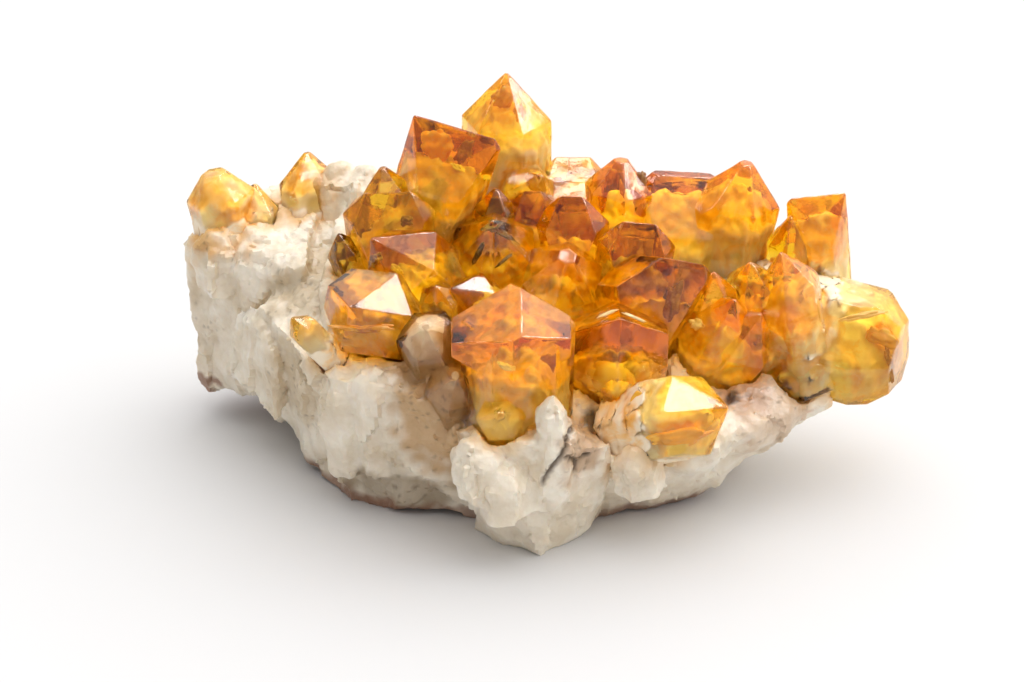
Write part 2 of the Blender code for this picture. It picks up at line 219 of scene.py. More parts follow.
# Iron stains inside the points, and pale plates that are painted glints of bright cracks: place, half
# sizes, turn about y, and colour.
INCLUSIONS_AND_GLINTS = (
    ((-13.2, 5.8, 41.2), (1.9, 0.6, 1.9), 0, (0.97, 0.40, 0.01)),
    ((-9.9, 6.2, 40.2), (0.9, 0.4, 1.7), 30, (0.45, 0.17, 0.02)),
    ((-12.0, 6.0, 37.8), (1.4, 0.4, 1.8), -20, (0.80, 0.52, 0.05)),
    # pale plate: a painted glint of a crack
    ((-10.6, 5.0, 38.6), (0.9, 0.3, 0.4), 35, (1.0, 0.85, 0.40)),
    ((-4.9, 13.0, 45.0), (1.2, 0.5, 1.5), 20, (0.85, 0.36, 0.01)),
    ((-3.3, 13.0, 42.4), (0.5, 0.3, 1.6), 10, (0.86, 0.45, 0.04)),
    ((-16.8, 0.5, 33.6), (0.8, 0.4, 0.6), 0, (0.30, 0.15, 0.03)),
    ((-20.5, -5.0, 30.6), (0.6, 0.4, 1.2), 35, (0.20, 0.07, 0.01)),
    # pale plate: a painted glint of a crack
    ((-17.8, -5.0, 29.6), (0.9, 0.3, 0.4), 40, (1.0, 0.85, 0.40)),
    ((-7.9, -2.0, 30.4), (0.35, 0.3, 1.5), 24, (0.10, 0.05, 0.02)),
    ((-6.2, -1.6, 33.6), (1.3, 0.3, 0.16), -22, (0.12, 0.06, 0.02)),
    ((-4.8, -1.6, 32.4), (1.6, 0.3, 0.14), 30, (0.16, 0.07, 0.02)),
    ((-5.0, -3.2, 29.8), (1.2, 0.3, 0.2), -38, (0.12, 0.06, 0.01)),
    ((12.2, 9.2, 35.6), (0.7, 0.4, 1.0), 0, (0.30, 0.12, 0.03)),
    ((15.6, -6.5, 26.2), (0.9, 0.4, 2.2), 10, (0.36, 0.12, 0.02)),
    ((41.4, -5.4, 20.6), (1.9, 0.5, 1.2), 25, (0.90, 0.46, 0.04)),
    ((42.4, -5.6, 17.0), (0.4, 0.3, 2.4), -15, (0.45, 0.20, 0.04)),
    ((38.6, -6.6, 24.0), (2.6, 0.4, 0.4), -12, (0.88, 0.48, 0.08)),
    ((10.6, -19.0, 17.6), (0.8, 0.4, 2.2), 20, (0.90, 0.44, 0.02)),
    ((15.6, -23.4, 16.2), (3.4, 0.4, 0.8), -10, (0.90, 0.46, 0.06)),
    ((-21.5, -14.4, 26.0), (3.4, 0.5, 0.5), 0, (0.72, 0.28, 0.02)),
    # pale plates: painted glints of cracks and of a roof's edges
    ((-4.6, -23.4, 25.4), (1.0, 0.3, 0.5), 20, (1.0, 0.82, 0.42)),
    ((7.4, -15.0, 28.1), (1.3, 0.2, 0.16), -24, (1.0, 0.80, 0.42)),
    ((10.6, -15.2, 27.7), (1.5, 0.2, 0.16), 22, (1.0, 0.80, 0.42)),
    ((18.6, -8.2, 23.6), (1.0, 0.4, 0.7), 20, (0.95, 0.55, 0.08)),
)

# Colours in the milky roots: middle, reach along x, y and z, colour, and strength.
ROOT_STAINS = (
    ((-45.0, 15.0, 31.0), (2.6, 4.0, 4.5), (0.95, 0.42, 0.02), 0.9),
    ((-39.0, 14.0, 29.5), (3.0, 4.0, 2.0), (0.95, 0.45, 0.03), 0.9),
    ((-42.0, 15.0, 34.5), (3.0, 4.0, 2.0), (0.97, 0.72, 0.52), 0.8),
    ((-30.8, 19.0, 31.5), (2.2, 4.0, 2.4), (0.95, 0.45, 0.02), 0.9),
    ((41.5, -7.0, 21.0), (3.4, 4.0, 3.0), (0.94, 0.44, 0.02), 0.95),
    ((38.5, -7.5, 15.0), (1.4, 5.0, 4.0), (0.92, 0.46, 0.06), 0.8),
    ((36.6, 5.0, 30.5), (1.5, 6.0, 6.0), (0.96, 0.36, 0.01), 0.9),
    ((44.0, -6.0, 17.0), (1.6, 5.0, 5.0), (0.92, 0.50, 0.12), 0.7),
    ((36.0, -10.0, 20.0), (3.0, 4.0, 4.0), (0.99, 0.86, 0.66), 0.8),
    ((10.0, -21.0, 17.5), (1.3, 5.0, 3.4), (0.92, 0.42, 0.02), 0.9),
    ((16.5, -24.0, 17.4), (4.4, 3.4, 1.2), (0.92, 0.44, 0.04), 0.9),
    ((15.0, -24.0, 13.2), (6.0, 5.0, 2.0), (0.98, 0.88, 0.74), 0.8),
    ((-4.6, 13.0, 43.5), (2.6, 4.0, 2.4), (0.95, 0.50, 0.03), 0.8),
)

# Colours on the stone: middle, reach along x, y and z, colour, and strength.
STONE_STAINS = (
    ((-13.0, -17.0, 16.0), (7.0, 9.0, 12.5), (0.66, 0.44, 0.22), 0.85),
    ((-17.5, -12.0, 3.0), (10.0, 9.0, 4.5), (0.34, 0.27, 0.18), 0.7),
    ((3.8, -21.5, 14.5), (4.6, 7.0, 6.0), (0.54, 0.36, 0.22), 0.75),
    ((6.0, -16.5, 15.3), (1.8, 2.5, 1.4), (0.12, 0.08, 0.04), 0.9),
    ((-42.0, 13.5, 26.5), (3.4, 6.0, 4.5), (0.88, 0.50, 0.10), 0.7),
    ((-37.0, 13.5, 25.0), (3.2, 5.0, 4.0), (0.88, 0.48, 0.10), 0.8),
    ((-30.6, 17.5, 28.5), (3.6, 5.0, 4.0), (0.88, 0.52, 0.14), 0.6),
    ((-28.0, 4.0, 22.0), (8.0, 8.0, 7.0), (0.56, 0.46, 0.30), 0.6),
    ((-30.0, -4.0, 14.0), (7.0, 6.0, 8.0), (0.66, 0.55, 0.38), 0.5),
    ((27.0, -10.0, 13.5), (10.0, 7.0, 7.0), (0.70, 0.54, 0.43), 0.7),
    ((24.0, -10.5, 15.5), (5.0, 4.0, 3.5), (0.58, 0.37, 0.28), 0.7),
    ((22.9, -11.3, 15.3), (1.2, 2.0, 0.9), (0.05, 0.03, 0.03), 0.9),
    ((-20.0, 24.0, 18.0), (10.0, 6.0, 8.0), (0.64, 0.52, 0.37), 0.6),
    ((12.0, 24.0, 13.0), (12.0, 6.0, 7.0), (0.58, 0.48, 0.36), 0.6),
    ((34.0, 14.0, 14.0), (7.0, 7.0, 6.0), (0.72, 0.52, 0.32), 0.5),
    ((-43.0, 18.0, 14.0), (6.0, 7.0, 8.0), (0.68, 0.58, 0.44), 0.5),
)

# Dark cracks down the front of the stone, as runs of x and z.
CRACKS = (
    ((-0.4, 11.2), (0.8, 13.6), (1.9, 15.0), (2.9, 17.2), (4.3, 17.9), (6.2, 16.6)),
    ((1.9, 15.0), (3.2, 14.2), (3.9, 12.6), (3.6, 11.4)),
    ((3.9, 12.6), (5.4, 12.9)),
)

CITRINE_POINTS = {**DRUSE_POINTS, **LEFT_PAIR, **BACK_LEFT, **FRONT_LOW}
CITRINE_NODES = (
    "citrine_druse", "citrine_points_left", "citrine_point_back_left", "citrine_point_front_low"
)

EDGE_WEAR = (0.18, 0.12, 0.06, 0.02)  # widths of worn edges: the widest that leaves a point closed
FACE_GRAIN = 1.4       # longest edge of the triangles on a crystal's faces
FACE_WAVES = 0.055     # height of the waves on a crystal's faces
CORE_START = 0.7       # where a root begins, from the tip (0) to where the point starts to pale (1)
CORE_NARROWING = 0.4   # how much narrower than its point a root is, times the point's `milky`
CORE_GAP = 0.25        # least clear quartz around the top of a milky root
CORE_GRAIN = 0.42      # size of the facets of the milky roots
MILKIEST = 0.2         # the points that pale from here or higher have bare feet
BARE_ROOT = 0.2        # how far such a foot stands out of its clear part
BARE_FROM = (0.52, 0.60)  # where down the length it comes to lie bare
PALING = 0.35          # the share of its length over which a point pales
CLEAR_TINT = 0.28      # how much of its hue a point's clear part has
ROOT_TINT = 0.85       # and how much its root has
MILKY_GRAIN = 0.9      # longest edge of the triangles on a milky point's faces
STONE_GRAIN = 0.45     # size of the facets of the white stone
NOISE_SEED = 5         # fixes the tilts of the stone's grains, which otherwise differ each run
CRACK_DEPTH = 0.35     # how deep the dark cracks of the stone are
POINT_SINK = 1.1       # how far the stone is taken back where a milky point stands in it
GLASSY_EDGE = math.radians(28)  # faces of a crystal that meet more steeply have a sharp edge
STONY_EDGE = math.radians(32)   # and the same for the stone
QUARTZ_IOR = 1.544
AMBER_COLOUR = (0.991, 0.892, 0.0)  # what clear citrine lets through
AMBER_DENSITY = 480                 # how strongly it takes the rest, to the metre


def slice_off(solid, place, normal):
    """Cut a closed convex solid with a plane, keep what is behind it, and close the cut."""
    parts = solid.verts[:] + solid.edges[:] + solid.faces[:]
    cut = bmesh.ops.bisect_plane(
        solid, geom=parts, plane_co=place, plane_no=normal, clear_outer=True, dist=1e-5
    )
    rim = [part for part in cut["geom_cut"] if isinstance(part, bmesh.types.BMEdge)]
    if rim:
        bmesh.ops.edgeloop_fill(solid, edges=rim)


def leaning(shape):
    """The turn from an upright point to this one's lean."""
    toward = math.radians(shape.toward)
    hinge = Vector((-math.sin(toward), math.cos(toward), 0))
    return Quaternion(hinge, math.radians(shape.lean)).to_matrix()


def face_planes(shape):
    """Outward normals and distances from the tip of an upright point's faces."""
    planes = []
    for number in range(FACES_AROUND):
        around = math.radians(shape.turn + 360 / FACES_AROUND * number)
        outward = Vector((math.sin(around), -math.cos(around), 0))
        planes.append((outward, shape.sides[number]))
        end = outward * math.sin(END_FACE_TILT) + Vector((0, 0, math.cos(END_FACE_TILT)))
        planes.append((end, -shape.ends[number]))
    if shape.blunt:
        planes.append((Vector((0, 0, 1)), -shape.blunt))
    planes.append((Vector((0, 0, -1)), shape.length))
    return planes


def point_solid(shape):
    """The closed upright solid of a quartz point, with its tip at the origin."""
    solid = bmesh.new()
    bmesh.ops.create_cube(solid, size=4 * shape.length)
    for normal, distance in face_planes(shape):
        slice_off(solid, normal * distance, normal)
    return solid


def lean_and_place(solid, shape):
    """Take an upright point's solid to the point's lean and place."""
    matrix = Matrix.Translation(shape.tip) @ leaning(shape).to_4x4()
    bmesh.ops.transform(solid, matrix=matrix, verts=solid.verts)


def is_closed(solid):
    return all(edge.is_manifold for edge in solid.edges)


def crystal_solid(shape):
    """A quartz point with worn edges, in its place."""
    for width in EDGE_WEAR:
        solid = point_solid(shape)
        bmesh.ops.bevel(
            solid, geom=solid.edges[:], offset=width, offset_type="OFFSET", segments=2,
            profile=0.5, affect="EDGES", clamp_overlap=True,
        )
        bmesh.ops.remove_doubles(solid, verts=solid.verts, dist=width * 0.05)
        bmesh.ops.triangulate(solid, faces=solid.faces)
        if is_closed(solid):
            break
        solid.free()
        solid = point_solid(shape)
    lean_and_place(solid, shape)
    return solid


def make_waves(thing):
    """Move an object's flat faces in and out a little."""
    push_out(thing, lambda place: FACE_WAVES * (noise.noise(place * 0.35) + noise.noise(place)))


def core_solid(shape):
    """The milky root inside a quartz point. The higher the point pales, the more of it is filled."""
    width = 1.0 - CORE_NARROWING * shape.milky
    below_tip = CORE_START * shape.milky * shape.length
    core = shape._replace(
        sides=tuple(side * width for side in shape.sides),
        blunt=max(shape.blunt - below_tip, 0),
        length=shape.length - below_tip,
    )
    solid = point_solid(core)
    bmesh.ops.translate(solid, vec=(0, 0, -below_tip), verts=solid.verts)
    lean_and_place(solid, shape)
    return solid


def add_object(name, mesh):
    """Put a finished bmesh, in millimetres, into the scene as a named object."""
    bmesh.ops.recalc_face_normals(mesh, faces=mesh.faces)
    bmesh.ops.scale(mesh, vec=(MM, MM, MM), verts=mesh.verts)
    data = bpy.data.meshes.new(name)
    mesh.to_mesh(data)
    mesh.free()
    thing = bpy.data.objects.new(name, data)
    bpy.context.scene.collection.objects.link(thing)
    return thing


def apply_modifiers(thing):
    """Replace an object's mesh by what its modifiers make of it."""
    graph = bpy.context.evaluated_depsgraph_get()
    made = bpy.data.meshes.new_from_object(thing.evaluated_get(graph))
    thing.modifiers.clear()
    thing.data = made


def united(name, solids):
    """One object of all the closed solids, joined where they overlap."""
    first, *others = solids
    thing = add_object(name, first)
    for other in others:
        part = add_object(f"{name}_part", other)
        join = thing.modifiers.new("Join", "BOOLEAN")
        join.operation = "UNION"
        join.object = part
        join.solver = "MANIFOLD"
        apply_modifiers(thing)
        bpy.data.objects.remove(part, do_unlink=True)
    return thing


def positions(thing):
    """An object's vertices in millimetres, one row each."""
    places = np.empty(len(thing.data.vertices) * 3)
    thing.data.vertices.foreach_get("co", places)
    return places.reshape(-1, 3) / MM


def beyond(places, shape):
    """How far places are outside a point's faces, below zero inside, and their local places."""
    local = (places - np.array(shape.tip)) @ np.array(leaning(shape))
    outside = np.full(len(places), -1e9)
    for normal, distance in face_planes(shape):
        outside = np.maximum(outside, local @ np.array(normal) - distance)
    return outside, local


def owners(places, shapes):
    """For each place, the point it belongs to, and how far it is down that point's length."""
    best = np.full(len(places), 1e9)
    owner = np.zeros(len(places), int)
    down = np.zeros(len(places))
    for number, shape in enumerate(shapes):
        outside, local = beyond(places, shape)
        nearer = np.abs(outside) < best
        best = np.where(nearer, np.abs(outside), best)
        owner = np.where(nearer, number, owner)
        down = np.where(nearer, -local[:, 2] / shape.length, down)
    return owner, down


def push_out(thing, height):
    """Move each vertex along its normal by height(place), all in millimetres."""
    places = positions(thing)
    move_out(thing, places, np.array([height(Vector(place)) for place in places]))


def move_out(thing, places, heights):
    """Move each vertex from its place along its normal by its own height."""
    normals = np.empty(places.size)
    thing.data.vertices.foreach_get("normal", normals)
    moved = places + normals.reshape(-1, 3) * heights[:, None]
    thing.data.vertices.foreach_set("co", (moved * MM).ravel())
    thing.data.update()


def refine(thing, longest):
    """Bisect an object's triangles until no edge is longer than `longest`, in millimetres."""
    data = thing.data
    data.calc_loop_triangles()
    corners = np.empty(len(data.loop_triangles) * 3, int)
    data.loop_triangles.foreach_get("vertices", corners)
    corners = corners.reshape(-1, 3)
    places = positions(thing)
    while True:
        sides = np.stack([corners, np.roll(corners, -1, axis=1)], axis=2)
        edges, edge_of = np.unique(np.sort(sides, axis=2).reshape(-1, 2), axis=0, return_inverse=True)
        edge_of = edge_of.reshape(-1, 3)
        lengths = np.linalg.norm(places[edges[:, 0]] - places[edges[:, 1]], axis=1)
        worst = edge_of[np.arange(len(corners)), lengths[edge_of].argmax(axis=1)]
        split = np.unique(worst[lengths[worst] > longest])
        if not len(split):
            break
        middle_of = np.full(len(edges), -1)
        middle_of[split] = len(places) + np.arange(len(split))
        places = np.vstack([places, places[edges[split]].mean(axis=1)])
        corners = bisected(corners, middle_of[edge_of])
    places, corners = in_order(places, corners)
    data = bpy.data.meshes.new(thing.name)
    data.from_pydata(places * MM, [], corners)
    for material in thing.data.materials:
        data.materials.append(material)
    thing.data = data


def in_order(places, corners):
    """The same vertices and triangles, in an order that doesn't depend on how they were made."""
    order = np.lexsort(np.round(places, 4).T)
    rank = np.empty(len(order), int)
    rank[order] = np.arange(len(order))
    corners = rank[corners]
    first = corners.argmin(axis=1)
    turned = (first[:, None] + np.arange(3)) % 3
    corners = np.take_along_axis(corners, turned, axis=1)
    return places[order], corners[np.lexsort(corners.T[::-1])]


def bisected(corners, middles):
    """Triangles split at the middles of their sides, where -1 means a side that stays whole."""
    made = [corners[(middles < 0).all(axis=1)]]
    for turn in range(3):
        a, b, c = np.roll(corners, -turn, axis=1).T
        ab, bc, ca = np.roll(middles, -turn, axis=1).T
        one = (ab >= 0) & (bc < 0) & (ca < 0)
        made += [np.stack([a, ab, c], 1)[one], np.stack([ab, b, c], 1)[one]]
        two = (ab >= 0) & (bc >= 0) & (ca < 0)
        made += [np.stack(part, 1)[two] for part in ((ab, b, bc), (a, ab, bc), (a, bc, c))]
    a, b, c = corners.T
    ab, bc, ca = middles.T
    three = (middles >= 0).all(axis=1)
    quarters = ((a, ab, ca), (ab, b, bc), (ca, bc, c), (ab, bc, ca))
    made += [np.stack(part, 1)[three] for part in quarters]
    return np.vstack(made)


def set_colours(thing, name, colours):
    """Store one colour for each vertex, repeated at the corners of the faces around it."""
    layer = thing.data.attributes.new(name, "FLOAT_COLOR", "CORNER")
    vertex_of = np.empty(len(thing.data.loops), int)
    thing.data.loops.foreach_get("vertex_index", vertex_of)
    with_alpha = np.hstack([colours, np.ones((len(colours), 1))])[vertex_of]
    layer.data.foreach_set("color", np.ascontiguousarray(with_alpha, dtype=np.float32).ravel())


def smooth(value, low, high):
    """0 below low, 1 above high, and a smooth rise between them."""
    share = np.clip((value - low) / (high - low), 0, 1)
    return share * share * (3 - 2 * share)


def blend(first, second, share):
    """Rows of `first`, changed into `second` by a share for each row."""
    share = np.reshape(share, (-1, 1))
    return first * (1 - share) + second * share


# ---- materials ----

def material_of(name):
    """A new material, with its tree, its shader and its output."""
    material = bpy.data.materials.new(name)
    material.use_nodes = True
    tree = material.node_tree
    return material, tree, tree.nodes["Principled BSDF"], tree.nodes["Material Output"]


def texture(tree, kind, scale, **settings):
    """A texture node in object space, `scale` features to the metre."""
    place = tree.nodes.get("place") or tree.nodes.new("ShaderNodeTexCoord")
    place.name = "place"
    made = tree.nodes.new(kind)
    made.inputs["Scale"].default_value = scale
    for key, value in settings.items():
        if key in made.inputs:
            made.inputs[key].default_value = value
        else:
            setattr(made, key, value)
    tree.links.new(place.outputs["Object"], made.inputs["Vector"])
    return made


def ramp(tree, source, low, high, out_low=0.0, out_high=1.0):
    """A number mapped from low..high to out_low..out_high."""
    made = tree.nodes.new("ShaderNodeMapRange")
    made.inputs["From Min"].default_value = low
    made.inputs["From Max"].default_value = high
    made.inputs["To Min"].default_value = out_low
    made.inputs["To Max"].default_value = out_high
    tree.links.new(source, made.inputs["Value"])
    return made.outputs["Result"]


def mixed(tree, share, first, second, mode="MIX"):
    """Two colours, mixed by a share. Each may be a socket or a fixed value."""
    made = tree.nodes.new("ShaderNodeMix")
    made.data_type = "RGBA"
    made.blend_type = mode
    for key, value in (("Factor", share), (6, first), (7, second)):
        socket = made.inputs[key]
        if isinstance(value, bpy.types.NodeSocket):
            tree.links.new(value, socket)
        elif isinstance(value, tuple):
            socket.default_value = (*value, 1)
        else:
            socket.default_value = value
    return made.outputs[2]


def attribute(tree, name):
    """The colours stored in a mesh under this name."""
    made = tree.nodes.new("ShaderNodeAttribute")
    made.attribute_name = name
    return made


def bump(tree, height, strength, distance, below=None):
    """Normals of a rough surface, laid over the normals `below` where they are given."""
    made = tree.nodes.new("ShaderNodeBump")
    made.inputs["Strength"].default_value = strength
    made.inputs["Distance"].default_value = distance
    tree.links.new(height, made.inputs["Height"])
    if below is not None:
        tree.links.new(below, made.inputs["Normal"])
    return made.outputs["Normal"]


def crystal_material():
    """Clear amber quartz."""
    material, tree, shader, output = material_of("clear_citrine")
    shader.inputs["Transmission Weight"].default_value = 1.0
    shader.inputs["IOR"].default_value = QUARTZ_IOR
    cloud = texture(tree, "ShaderNodeTexNoise", 260, Detail=5.0, Roughness=0.6)
    tint = attribute(tree, "clear_tint").outputs["Color"]
    tree.links.new(tint, shader.inputs["Base Color"])
    rough = ramp(tree, cloud.outputs["Fac"], 0.45, 0.75, 0.02, 0.16)
    tree.links.new(rough, shader.inputs["Roughness"])
    hills = texture(tree, "ShaderNodeTexNoise", 900, Detail=3.0)
    nicks = texture(tree, "ShaderNodeTexNoise", 3200, Detail=2.0, Roughness=0.7)
    rough = bump(tree, nicks.outputs["Fac"], 0.12, 0.0001)
    tree.links.new(bump(tree, hills.outputs["Fac"], 0.18, 0.00015, rough), shader.inputs["Normal"])
    volume = tree.nodes.new("ShaderNodeVolumeAbsorption")
    volume.inputs["Color"].default_value = (*AMBER_COLOUR, 1)
    volume.inputs["Density"].default_value = AMBER_DENSITY
    tree.links.new(volume.outputs["Volume"], output.inputs["Volume"])
    return material


def core_material():
    """The milky root of a crystal, in the crystal's hues, with patches of cream and of iron stain."""
    material, tree, shader, _ = material_of("milky_root")
    tint = attribute(tree, "root_tint").outputs["Color"]
    cloud = texture(tree, "ShaderNodeTexNoise", 420, Detail=6.0, Roughness=0.65)
    patches = ramp(tree, cloud.outputs["Fac"], 0.44, 0.66, 0.0, 0.6)
    colour = mixed(tree, patches, tint, CREAM)
    iron = texture(tree, "ShaderNodeTexNoise", 240, Detail=4.0, Roughness=0.6, Distortion=0.8)
    colour = mixed(tree, ramp(tree, iron.outputs["Fac"], 0.52, 0.62, 0.0, 0.55), colour, IRON_GOLD)
    tree.links.new(colour, shader.inputs["Base Color"])
    shader.inputs["Roughness"].default_value = 0.5
    return material


def inclusion_and_glint_material():
    """Iron stain, with paler patches, and the pale plates that are painted glints."""
    material, tree, shader, _ = material_of("iron_stain_and_glint")
    tint = attribute(tree, "inclusion_and_glint_tint").outputs["Color"]
    cloud = texture(tree, "ShaderNodeTexNoise", 900, Detail=5.0, Roughness=0.6)
    share = ramp(tree, cloud.outputs["Fac"], 0.45, 0.75, 0.0, 0.6)
    tree.links.new(mixed(tree, share, tint, LIGHT_IRON), shader.inputs["Base Color"])
    shader.inputs["Roughness"].default_value = 0.5
    return material


def milky_material():
    """Clouded quartz, with fine growth lines across the faces."""
    material, tree, shader, _ = material_of("clouded_quartz")
    tint = attribute(tree, "milk_tint").outputs["Color"]
    cloud = texture(tree, "ShaderNodeTexNoise", 380, Detail=5.0, Roughness=0.6)
    colour = mixed(tree, ramp(tree, cloud.outputs["Fac"], 0.45, 0.8, 0.0, 0.6), tint, CREAM)
    tree.links.new(colour, shader.inputs["Base Color"])
    shader.inputs["Transmission Weight"].default_value = 1.0
    shader.inputs["IOR"].default_value = QUARTZ_IOR
    shader.inputs["Roughness"].default_value = 0.2
    lines = texture(
        tree, "ShaderNodeTexWave", 260, bands_direction="Z", Distortion=6.0, **{"Detail Scale": 0.6}
    )
    tree.links.new(bump(tree, lines.outputs["Fac"], 0.2, 0.0001), shader.inputs["Normal"])
    return material


def stone_material():
    """Sugary white quartz."""
    material, tree, shader, _ = material_of("sugary_quartz")
    cloud = texture(tree, "ShaderNodeTexNoise", 160, Detail=6.0, Roughness=0.6)
    share = ramp(tree, cloud.outputs["Fac"], 0.4, 0.65)
    colour = mixed(tree, share, WHITE_SUGAR, TAWNY_SUGAR)
    tint = attribute(tree, "stone_tint").outputs["Color"]
    tree.links.new(mixed(tree, 1.0, colour, tint, "MULTIPLY"), shader.inputs["Base Color"])
    shader.inputs["Roughness"].default_value = 0.38
    shader.inputs["Subsurface Weight"].default_value = 0.3
    shader.inputs["Subsurface Radius"].default_value = (1.0, 0.75, 0.5)
    shader.inputs["Subsurface Scale"].default_value = 0.0012
    sugar = texture(tree, "ShaderNodeTexVoronoi", 1100)
    grain = texture(tree, "ShaderNodeTexNoise", 1400, Detail=4.0)
    rough = bump(tree, grain.outputs["Fac"], 0.4, 0.0003)
    tree.links.new(bump(tree, sugar.outputs["Distance"], 0.35, 0.0003, rough), shader.inputs["Normal"])
    return material


# ---- pieces ----

def paint_points(thing, name, shapes, root_colour, strength, stains=()):
    """Give each vertex its point's hue, the root's colour further down, and the stains over both."""
    shapes = list(shapes)
    places = positions(thing)
    owner, down = owners(places, shapes)
    hues = np.array([shape.hue for shape in shapes])[owner]
    start = np.array([shape.milky for shape in shapes])[owner]
    share = smooth(down, start, start + PALING)
    colours = blend(blend(np.ones(3), hues, strength), np.array(root_colour), share)
    wander = wandering(places)
    for middle, reach, colour, weight in stains:
        inside = inside_stain(places, wander, middle, reach)
        colours = blend(colours, np.array(colour), weight * inside)
    set_colours(thing, name, colours)


def crystals(name, nodes, shapes, material):
    """The clear points, in place of their solids."""
    piece = united(name, [crystal_solid(shape) for shape in shapes.values()])
    refine(piece, FACE_GRAIN)
    make_waves(piece)
    piece.data.materials.clear()
    piece.data.materials.append(material)
    paint_points(piece, "clear_tint", shapes.values(), CLEAR, CLEAR_TINT)
    piece.data.shade_smooth()
    piece.data.set_sharp_from_angle(angle=GLASSY_EDGE)
    weighted = piece.modifiers.new("Flat faces", "WEIGHTED_NORMAL")
    weighted.keep_sharp = True
    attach(piece, "root")
    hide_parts(*nodes)


def add_solid(solid, other):
    """Put another solid beside what a bmesh holds."""
    data = bpy.data.meshes.new("other")
    other.to_mesh(data)
    other.free()
    solid.from_mesh(data)
    bpy.data.meshes.remove(data)


def root_height(place):
    """Height of a root's lumpy surface, with some of the lumps drawn out upwards."""
    drawn_out = Vector((place.x, place.y, place.z * 0.5))
    return 0.6 * noise.noise(place * 0.5) + 0.6 * noise.noise(drawn_out * 1.2) - 0.2


def keep_inside(thing, shapes):
    """Keep the roots inside the points, but let the feet of the milkiest points lie bare."""
    shapes = list(shapes)
    places = positions(thing)
    outside = np.min([beyond(places, shape)[0] for shape in shapes], axis=0)
    owner, down = owners(places, shapes)
    milky = np.array([shape.milky for shape in shapes])[owner] <= MILKIEST
    bare = milky * smooth(down + 0.14 * wandering(places), *BARE_FROM)
    inward = np.clip(outside + CORE_GAP, 0, 2.5)
    outward = np.clip(BARE_ROOT - outside, -2.5, 1.5)
    move_out(thing, places, bare * outward - (1 - bare) * inward)


def milky_roots(name, shapes, material):
    """The milky roots of all the points in one piece."""
    solid = bmesh.new()
    for shape in shapes.values():
        add_solid(solid, core_solid(shape))
    piece = add_object(name, solid)
    remesh = piece.modifiers.new("Remesh", "REMESH")
    remesh.mode = "VOXEL"
    remesh.voxel_size = CORE_GRAIN * MM
    apply_modifiers(piece)
    push_out(piece, root_height)
    keep_inside(piece, shapes.values())
    piece.data.materials.append(material)
    paint_points(piece, "root_tint", shapes.values(), CREAM, ROOT_TINT, ROOT_STAINS)
    piece.data.shade_smooth()
    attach(piece, "root")


def grain(place, across, tilt):
    """Height of a surface broken into flat grains, each tilted its own way."""
    there = place / across
    centre = noise.voronoi(there)[1][0]
    return (there - centre).dot(noise.noise_vector(centre * 7.3)) * tilt * across


def break_up(thing):
    """Give the stone its sugary grains, and take it back where the milky points stand in it."""
    places = positions(thing)
    in_points = np.full(len(places), 9.0)
    for shape in MILKY_POINTS.values():
        in_points = np.minimum(in_points, beyond(places, shape)[0])
    free = smooth(in_points, 0.2, 1.2)
    heights = np.array([stone_height(Vector(place)) for place in places])
    heights = heights * smooth(places[:, 2], 0.1, 1.5) * free - POINT_SINK * (1 - free)
    heights = heights - CRACK_DEPTH * cracked(places)
    move_out(thing, places, heights)


def stone_height(place):
    """Height of the stone's surface: swells, tall grains, small grains, and the finest roughness."""
    standing = Vector((place.x, place.y, place.z * 0.35))
    return (
        0.5 * noise.noise(place * 0.3)
        + grain(standing, 4.2, 0.3)
        + grain(place, 1.9, 0.34)
        + 0.1 * noise.noise(place * 1.6)
    )


def inclusions_and_glints(name, material):
    """The stains inside the points and the painted glints of bright cracks, as small ragged plates."""
    solid = bmesh.new()
    tints = []
    for place, half_sizes, turn, colour in INCLUSIONS_AND_GLINTS:
        made = bmesh.ops.create_icosphere(solid, subdivisions=4, radius=1)["verts"]
        matrix = Matrix.Translation(Vector(place)) @ Matrix.Rotation(math.radians(turn), 4, "Y")
        matrix = matrix @ Matrix.Diagonal((*half_sizes, 1))
        for vert in made:
            ragged = vert.co * (1 + 0.6 * noise.noise(vert.co * 1.7 + Vector(place)))
            vert.co = matrix @ ragged
        tints += [colour] * len(made)
    piece = add_object(name, solid)
    # the pale tints among these are painted glints, the rest iron stains
    set_colours(piece, "inclusion_and_glint_tint", np.array(tints))
    piece.data.materials.append(material)
    piece.data.shade_smooth()
    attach(piece, "root")


def milky_points(name, shapes, material):
    """The clouded points that stand out of the stone among the clear ones."""
    piece = united(name, [crystal_solid(shape) for shape in shapes.values()])
    refine(piece, MILKY_GRAIN)
    make_waves(piece)
    piece.data.materials.clear()
    piece.data.materials.append(material)
    paint_points(piece, "milk_tint", shapes.values(), MILK, 1.0)
    piece.data.shade_smooth()
    piece.data.set_sharp_from_angle(angle=GLASSY_EDGE)
    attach(piece, "root")


def wandering(places):
    """A slowly varying number around 0 for each place, which makes the edges of stains wander."""
    return np.array([noise.noise(Vector(place) * 0.6) for place in places])


def inside_stain(places, wander, middle, reach):
    """1 inside a stain, falling to 0 across its wandering edge."""
    far = np.linalg.norm((places - middle) / reach, axis=1) + 0.35 * wander
    return 1 - smooth(far, 0.5, 1.0)


def stained(places):
    """How much of each place's own colour is left, and the colour of the stains over it."""
    colours = np.ones((len(places), 3))
    wander = wandering(places)
    specks = np.array([noise.noise(Vector(place) * 2.6) for place in places])
    gold = np.zeros(len(places))
    for shape in CITRINE_POINTS.values():
        gold = np.maximum(gold, 1 - smooth(beyond(places, shape)[0] + wander, 0.0, 2.6))
    colours = blend(colours, np.array(GOLD_BLUSH), 0.55 * gold)
    for middle, reach, colour, strength in STONE_STAINS:
        inside = inside_stain(places, wander, middle, reach)
        colours = blend(colours, np.array(colour), strength * inside)
        colours = blend(colours, np.array(CRACK), 0.45 * inside * smooth(specks, 0.42, 0.5))
    colours = blend(colours, np.array(RIND), 0.8 * rind(places, wander))
    return blend(colours, np.array(CRACK), 0.9 * cracked(places))


